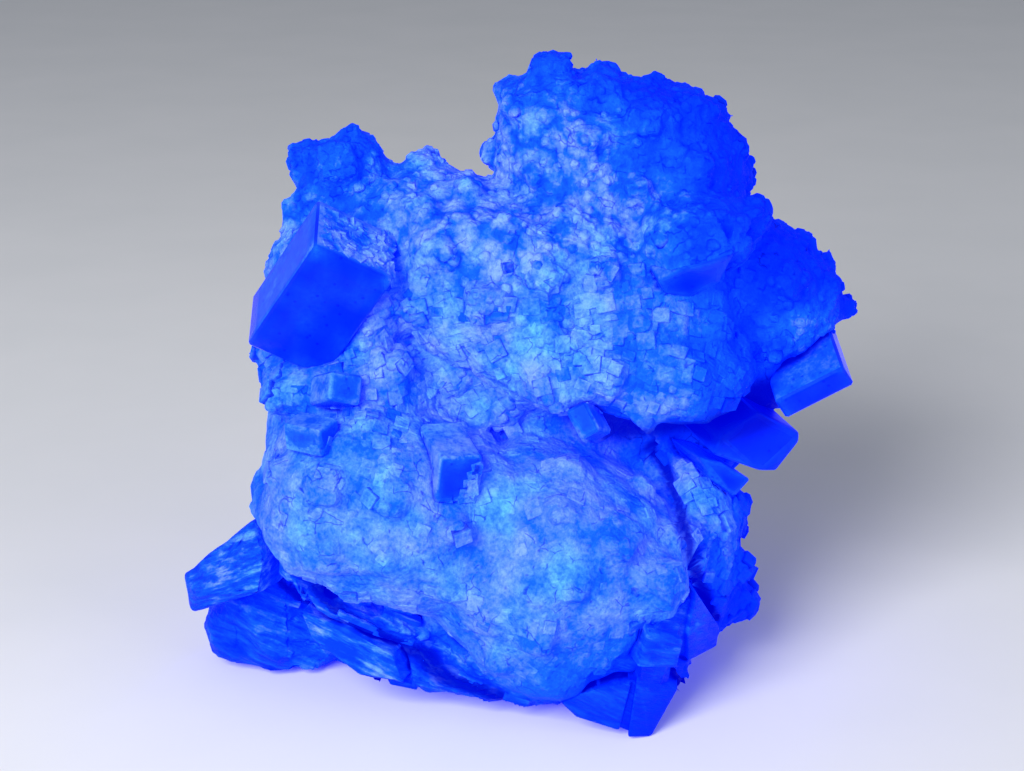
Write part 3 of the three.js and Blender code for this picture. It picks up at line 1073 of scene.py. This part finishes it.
def crystal_axes(piece):
    """The directions of a crystal's edges, from its largest face and the one most square to it."""
    faces = [polygon for polygon in piece.data.polygons if polygon.area > BIG_FACE]
    up = max(faces, key=lambda face: face.area).normal.copy()
    side = min(faces, key=lambda face: abs(face.normal.dot(up))).normal.copy()
    across = up.cross(side).normalized()
    return np.array([across.cross(up), across, up])


def cut_faces(piece):
    """Merges flat faces, wears sharp edges, subdivides the big faces and gives their normals."""
    chamfered = len(piece.data.polygons) > CHAMFERED
    with editing(piece) as mesh:
        mesh.dissolve_limited(angle_limit=FLAT_ENOUGH)
        if not chamfered:
            mesh.select_all(action="SELECT")
            mesh.bevel(offset=SHARP_EDGE, segments=2)
        mesh.select_all(action="DESELECT")
        mesh.select_mode(type="FACE")
    for polygon in piece.data.polygons:
        polygon.select = polygon.area > BIG_FACE
    big = np.array([polygon.normal for polygon in piece.data.polygons if polygon.select])
    bpy.ops.object.mode_set(mode="EDIT")
    bpy.ops.mesh.quads_convert_to_tris()
    bpy.ops.mesh.subdivide(number_cuts=CUTS)
    bpy.ops.object.mode_set(mode="OBJECT")
    return big


def face_frost_and_painted_light(piece, big, frosts_and_painted_light):
    """How pale each vertex is: from its big face, painted light included, and from the nearest worn edge."""
    places = corners_of(piece)
    frost = np.zeros(len(places))
    edges = set()
    for polygon in piece.data.polygons:
        normal = np.array(polygon.normal)
        if (big @ normal).max() > ON_FACE:
            frost[list(polygon.vertices)] = sum(amount for way, amount in frosts_and_painted_light if normal @ way > SAME_FACE)
        else:
            edges.update(polygon.vertices)
    tree = tree_of_points(places[list(edges)])
    away = np.array([tree.find(place)[2] for place in places])
    return frost + EDGE_FROST * np.exp(-away / EDGE_GLOW) * (0.55 + 0.9 * cloudy(places, 4 * MM))


def set_piece(node):
    """A crystal or block, dressed and riding on the specimen, and the normals of its big faces."""
    cleaved = node.startswith("block")
    piece = copy_of(node, node + ("_cleaved" if cleaved else "_crystal"))
    axes = crystal_axes(piece)
    big = cut_faces(piece)
    frost = LEAST_FROST + face_frost_and_painted_light(piece, big, FACE_FROSTS_AND_PAINTED_LIGHT.get(node, []))
    if node in WORN_BLOCKS:
        weigh(piece, everywhere=np.ones(len(frost)))
        relief(piece, BLOCK_RELIEF)
        place_corners(piece, np.clip(corners_of(piece), *cad_box))
    places, normals = corners_of(piece), normals_of(piece)
    rim = fading(from_rock(places), RIM_REACH, 1) * (0.5 + 0.5 * cloudy(places, 3 * MM))
    frost += RIM_FROST * rim + CLOUDY_FROST * cloudy(places, 5 * MM)
    # Painted shadow under the overhang on the shaded crystals.
    shaded = CRACK_SHADE * in_painted_shade(places) if node in SHADED else 0
    least = LEAST_CRYSTAL_HAZE.get(node, CLEARER)
    keep(
        piece,
        frost=np.clip(frost, 0, 1),
        haze=foot_haze_and_painted_light(places, 1) if cleaved else least + (1 - least) * haze(places),
        # Painted shade in hollows.
        open=contrast(openness(places, normals)) * (1 - shaded),
        along=(places - places.mean(axis=0)) @ axes.T / MM,
        layers=in_layers(places, LEFT_DIP if node == "block_left" else LAYER_DIP),
    )
    pick(piece)
    bpy.ops.object.shade_smooth_by_angle(angle=SOFT_EDGE)
    if cleaved:
        dress(piece, foot_material, node)
    else:
        dress(piece, crystal_material, node)
    return piece, big


set_pieces = {node: set_piece(node) for node in SET_NODES}
print("set pieces:", len(set_pieces))

# %% [markdown]
# The blocks at the front right are parted by cracks no wider than a hair, and the same fluorite
# fills the space behind them. So each filling is the hull of a few blocks, drawn in a little.

# %% Fillings
# Each: the blocks, how far it is drawn in, and a fixed open share that darkens it as painted shade.
FILLINGS = [
    (("block_front", "block_front_right"), 1.5 * MM, 0.5),
    (("block_toe", "block_right"), 2.0 * MM, 0.6),
    (("block_front_right", "block_toe"), 2.0 * MM, 0.7),
]


def filling(number, nodes, drawn_in, open_share):
    """A body that fills the space between neighbouring blocks, just behind their faces."""
    copies = [copy_of(node, f"filling_{number}") for node in nodes]
    for piece in copies:
        piece.select_set(True)
    bpy.ops.object.join()
    piece = bpy.context.object
    piece.name = f"filling_{number}"
    with editing(piece) as mesh:
        mesh.convex_hull()
        mesh.dissolve_limited(angle_limit=FLAT_ENOUGH)
        mesh.select_all(action="SELECT")
        mesh.quads_convert_to_tris()
    apply_modifier(piece, "DISPLACE", strength=-drawn_in, mid_level=0)
    places = corners_of(piece)
    open_shares = np.full(len(places), open_share)
    keep(piece, haze=foot_haze_and_painted_light(places, 1), open=open_shares, layers=in_layers(places))
    dress(piece, foot_material)
    print(piece.name, len(piece.data.polygons), "faces")


for number, (nodes, drawn_in, open_share) in enumerate(FILLINGS):
    filling(number + 1, nodes, drawn_in, open_share)

# %% [markdown]
# ### Crust on the crystals
# The crust grows a little way over the edges of the large crystals, and over whole corners of
# some, in small cubes that stand on the crystal's faces. Each ball below, a middle and a radius
# in millimetres, marks a part that is grown over.

# %% Overgrowth
OVERGROWN = [
    ((-5.5, -32, 48), 5.5),
    ((-17, -13, 92), 9.0), ((-22, -16, 74), 6.0), ((-27, -16, 100), 5.0),
    ((46, -2, 72), 9.0), ((52, -3, 76), 8.0), ((13, -22, 66), 3.5), ((-24, -20, 70), 3.0),
]
OVERGROWTH_SPACING = 1.1 * MM
OVERGROWTH_REACH = 1.5 * MM
OVERGROWTH_EDGES = (1.2, 2.0)
OVERGROWTH_SIDES = (0.85, 1.15)
RAGGED_COVER = -0.45
EDGE_LEFT_BARE = 1.1 * MM
TRIES_PER_FACE = 3


def face_samples(piece):
    """Places scattered over the faces of a piece, with the faces' normals."""
    places = []
    normals = []
    for polygon in piece.data.polygons:
        corners = np.array([piece.data.vertices[i].co for i in polygon.vertices])
        for _ in range(TRIES_PER_FACE):
            shares = chance.dirichlet(np.ones(len(corners)))
            places.append(shares @ corners)
            normals.append(polygon.normal)
    return np.array(places), np.array(normals)


def overgrown(places, normals, big, way):
    """Whether each place lies near the crust, in a ball or on the given face, with a ragged edge."""
    ragged = cloudy(places, 3.5 * MM)
    near = (from_rock(places) < OVERGROWTH_REACH * (0.6 + 0.9 * ragged)) & (in_balls(places, BARED) == 0)
    if way is not None:
        near |= (normals @ way > SAME_FACE) & (ragged > RAGGED_COVER)
    for normal in big:
        below = (places @ normal).max() - places @ normal
        near &= (below > EDGE_LEFT_BARE) | (normals @ normal > SAME_FACE)
    return near | (in_balls(places, OVERGROWN, 0.35 * ragged) > 0)


def overgrowth(node):
    """The crust's cubes on one crystal."""
    piece, big = set_pieces[node]
    places, normals = face_samples(piece)
    covered = overgrown(places, normals, big, GROWN_OVER.get(node)) & (node not in SHADED)
    places, normals = places[covered], normals[covered]
    bare = [
        rock_tree.ray_cast(Vector(place), Vector(normal), HOLLOW)[3] is None
        for place, normal in zip(places, normals)
    ]
    places, normals = places[bare], normals[bare]
    if not len(places):
        return None
    places, normals = thinned(places, normals, OVERGROWTH_SPACING)
    count = len(places)
    edge = OVERGROWTH_SPACING * chance.uniform(*OVERGROWTH_EDGES, (count, 1))
    sizes = edge * chance.uniform(*OVERGROWTH_SIDES, (count, 3))
    height = chance.random(count)
    rise = (0.05 + 0.25 * height) * MM
    # Painted shade: lower cubes are darker, and hollows through the open share.
    return standing(places, normals, sizes, rise, 0.8 + 0.2 * height, openness(places, normals))


over = [overgrowth(node) for node in SET_NODES if node.startswith("cube")]
over = [cubes for cubes in over if cubes]
over = {key: np.concatenate([cubes[key] for cubes in over]) for key in over[0]}
grow("overgrowth", over, crisp_cube)

# %% [markdown]
# ### Plates of the bare foot
# They are the same little block, drawn out long and thin along the layers.

# %% Plates
PLATE_SPACING = 4.2 * MM
PLATE_SIZES = [(4 * MM, 9 * MM), (2.5 * MM, 5 * MM), (0.6 * MM, 1.5 * MM)]
PLATE_RISE = (0.0, 0.5)
PLATE_TONES = (0.4, 1.0)
PLATE_GAP = 1.0 * MM
LEAST_PLATE_OPEN = 0.5
PLATE_LEAN = math.radians(4)
PLATES_FROM, PLATES_TO = -47 * MM, 3 * MM
PLATES_ABOVE = 4 * MM
MOST_BACK, LEAST_UP = 0.6, -0.1


def foot_plates():
    places, normals = face_places(rock)
    bare = (crusted(places) < 0.4) & (places[:, 2] > PLATES_ABOVE)
    bare &= (places[:, 0] > PLATES_FROM) & (places[:, 0] < PLATES_TO)
    bare &= (normals[:, 1] < MOST_BACK) & (normals[:, 2] > LEAST_UP)
    places, normals = thinned(places[bare], normals[bare], PLATE_SPACING)
    count = len(places)
    sizes = np.stack([chance.uniform(*span, count) for span in PLATE_SIZES], axis=1)
    turns = chance.normal(size=(count, 3)) * PLATE_LEAN
    frames = np.empty((count, 3, 3))
    for row, (lean, sway, turn) in enumerate(turns):
        along, across, up = layer_frame(LAYER_DIP + lean)
        across = across + sway * up + 3 * turn * along
        across /= np.linalg.norm(across)
        up = np.cross(along, across)
        frames[row] = [np.cross(across, up), across, up]
    reach = (np.abs(np.einsum("nij,nj->ni", frames, normals)) * sizes).sum(axis=1) / 2
    rise = chance.uniform(*PLATE_RISE, count) * MM
    places = places + normals * np.minimum(rise - reach, 0)[:, None]
    gaps = np.array([outside_by(place)[0] for place in places])
    cubes = {"places": places, "frames": frames, "sizes": sizes, "haze": foot_haze_and_painted_light(places, 1)}
    cubes["tone"] = chance.uniform(*PLATE_TONES, count)
    # Painted shade: plates in hollows are darker.
    cubes["open"] = contrast(openness(places + normals * reach[:, None], normals))
    return chosen(cubes, (gaps > PLATE_GAP) & (cubes["open"] > LEAST_PLATE_OPEN))


plates = foot_plates()
inside_box(plates)
foot = joined_cubes("foot_plates", plates)
keep(foot, layers=in_layers(corners_of(foot)))
dress(foot, foot_material)
print("plates:", len(plates["places"]))

# %% [markdown]
# ## The studio
# The floor is plain and pale, and the lights are soft. The camera looks 18 degrees down on the
# display side, through a long lens.

# %% Floor, lights and camera
SPECIMEN_MIDDLE = (-1.63 * MM, -3.79 * MM, 60 * MM)
CAMERA_AWAY = 0.460
CAMERA_UP = math.radians(18)


def studio_floor():
    bpy.ops.mesh.primitive_plane_add(size=6)
    floor = bpy.context.object
    floor.name = "studio_floor"
    shade = Shade("pale_paper")
    speckle = shade.noise(40, 3)
    base = shade.mix(speckle, (0.74, 0.75, 0.77, 1), (0.80, 0.80, 0.82, 1))
    floor.data.materials.append(shade.finish({"Base Color": base, "Roughness": 0.9}))


def soft_light(name, place, size, power):
    light = bpy.data.lights.new(name, "AREA")
    light.size = size
    light.energy = power
    lamp = added(name, light)
    lamp.location = place
    lamp.rotation_euler = (Vector(SPECIMEN_MIDDLE) - Vector(place)).to_track_quat("-Z", "Y").to_euler()


def studio_world():
    world = bpy.data.worlds.new("studio")
    world.use_nodes = True
    inputs = world.node_tree.nodes["Background"].inputs
    inputs["Color"].default_value = (0.75, 0.8, 0.9, 1)
    inputs["Strength"].default_value = 0.30
    bpy.context.scene.world = world


def camera():
    lens = bpy.data.cameras.new("camera")
    lens.lens = 85
    lens.clip_start = 0.01
    viewer = added("camera", lens)
    back = CAMERA_AWAY * math.cos(CAMERA_UP)
    viewer.location = Vector(SPECIMEN_MIDDLE) + Vector((0, -back, CAMERA_AWAY * math.sin(CAMERA_UP)))
    viewer.rotation_euler = (math.pi / 2 - CAMERA_UP, 0, 0)
    bpy.context.scene.camera = viewer


studio_floor()
soft_light("key_light", (-0.38, -0.80, 0.50), 0.5, 15)
soft_light("fill_light", (0.75, -0.65, 0.35), 0.8, 3.5)
studio_world()
camera()
bpy.context.scene.view_settings.view_transform = "Standard"
